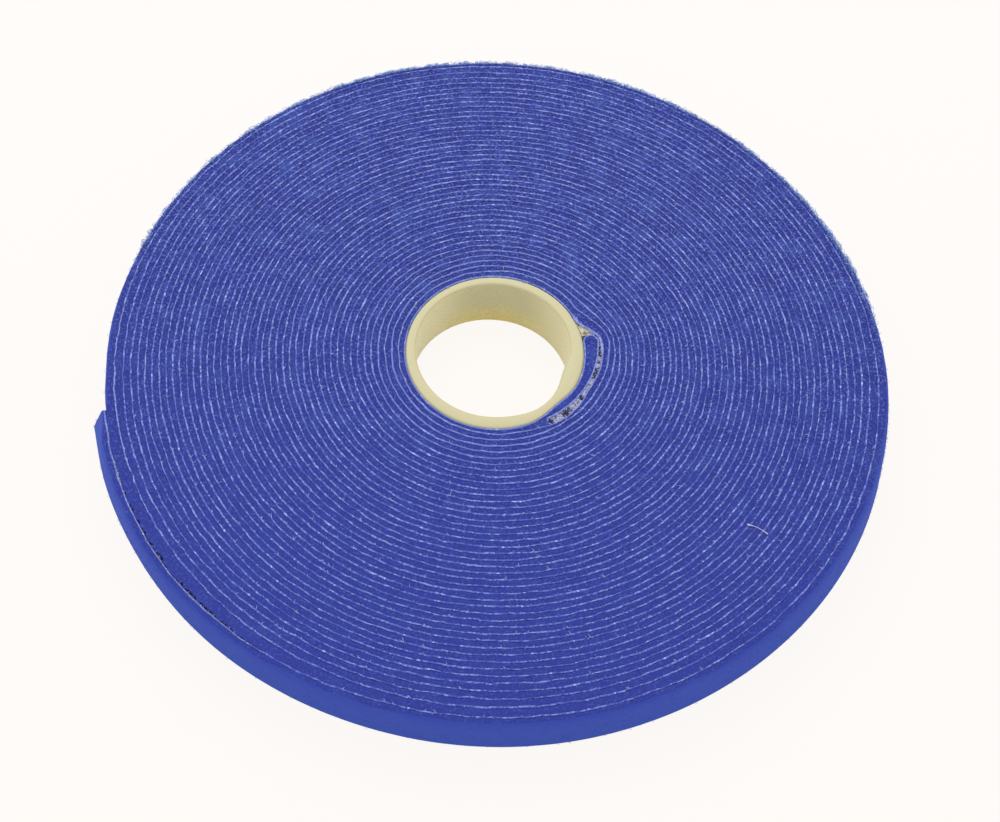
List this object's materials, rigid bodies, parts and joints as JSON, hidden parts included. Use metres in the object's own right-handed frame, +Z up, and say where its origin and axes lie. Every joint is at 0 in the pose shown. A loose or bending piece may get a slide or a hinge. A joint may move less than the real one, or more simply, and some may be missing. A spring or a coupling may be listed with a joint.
{
  "type": "hook and loop tape roll",
  "caption": "Flat roll of back-to-back hook and loop tape wound on an open plastic core, with a folded-back start and a free outer end that peels off the roll.",
  "frame": {"origin": "on the core's axis, in the plane that the roll lies on", "axes": "+Z up along the core's axis, across the tape's width; the tape's free end lies 15.5 degrees counter-clockwise from -X and the folded start 16.5 degrees counter-clockwise from +X, seen from above"},
  "size_m": [0.2643, 0.2658, 0.02],
  "materials": {
    "loop_fabric": "brushed loop pile, matt",
    "hook_film": "thin pale film with moulded hooks",
    "core_plastic": "moulded, satin, fine texture inside"
  },
  "bodies": {
    "roll": {"core_tube": "core_plastic", "winding_loop_fabric": "loop_fabric", "winding_hook_film": "hook_film", "start_fold_loop_fabric": "loop_fabric", "start_fold_hook_film": "hook_film"},
    "tail_1": {"tail_1_loop_fabric": "loop_fabric", "tail_1_hook_film": "hook_film"},
    "tail_2": {"tail_2_loop_fabric": "loop_fabric", "tail_2_hook_film": "hook_film"},
    "tail_3": {"tail_3_loop_fabric": "loop_fabric", "tail_3_hook_film": "hook_film"},
    "tail_4": {"tail_4_loop_fabric": "loop_fabric", "tail_4_hook_film": "hook_film"},
    "tail_5": {"tail_5_loop_fabric": "loop_fabric", "tail_5_hook_film": "hook_film"}
  },
  "joints": [
    {"name": "peel_1", "type": "hinge", "parent": "roll", "child": "tail_1", "pos_m": [-0.07788, -0.10885, 0.01], "axis": [0, 0, 1], "range_deg": [0, 25]},
    {"name": "peel_2", "type": "hinge", "parent": "tail_1", "child": "tail_2", "pos_m": [-0.09194, -0.09734, 0.01], "axis": [0, 0, 1], "range_deg": [0, 25]},
    {"name": "peel_3", "type": "hinge", "parent": "tail_2", "child": "tail_3", "pos_m": [-0.10432, -0.08403, 0.01], "axis": [0, 0, 1], "range_deg": [0, 25]},
    {"name": "peel_4", "type": "hinge", "parent": "tail_3", "child": "tail_4", "pos_m": [-0.11478, -0.06915, 0.01], "axis": [0, 0, 1], "range_deg": [0, 25]},
    {"name": "peel_5", "type": "hinge", "parent": "tail_4", "child": "tail_5", "pos_m": [-0.12313, -0.05299, 0.01], "axis": [0, 0, 1], "range_deg": [0, 25]}
  ],
  "couplings": [
    {"joint": "peel_2", "follows": "peel_1", "ratio": 1},
    {"joint": "peel_3", "follows": "peel_1", "ratio": 1},
    {"joint": "peel_4", "follows": "peel_1", "ratio": 1},
    {"joint": "peel_5", "follows": "peel_1", "ratio": 1}
  ]
}
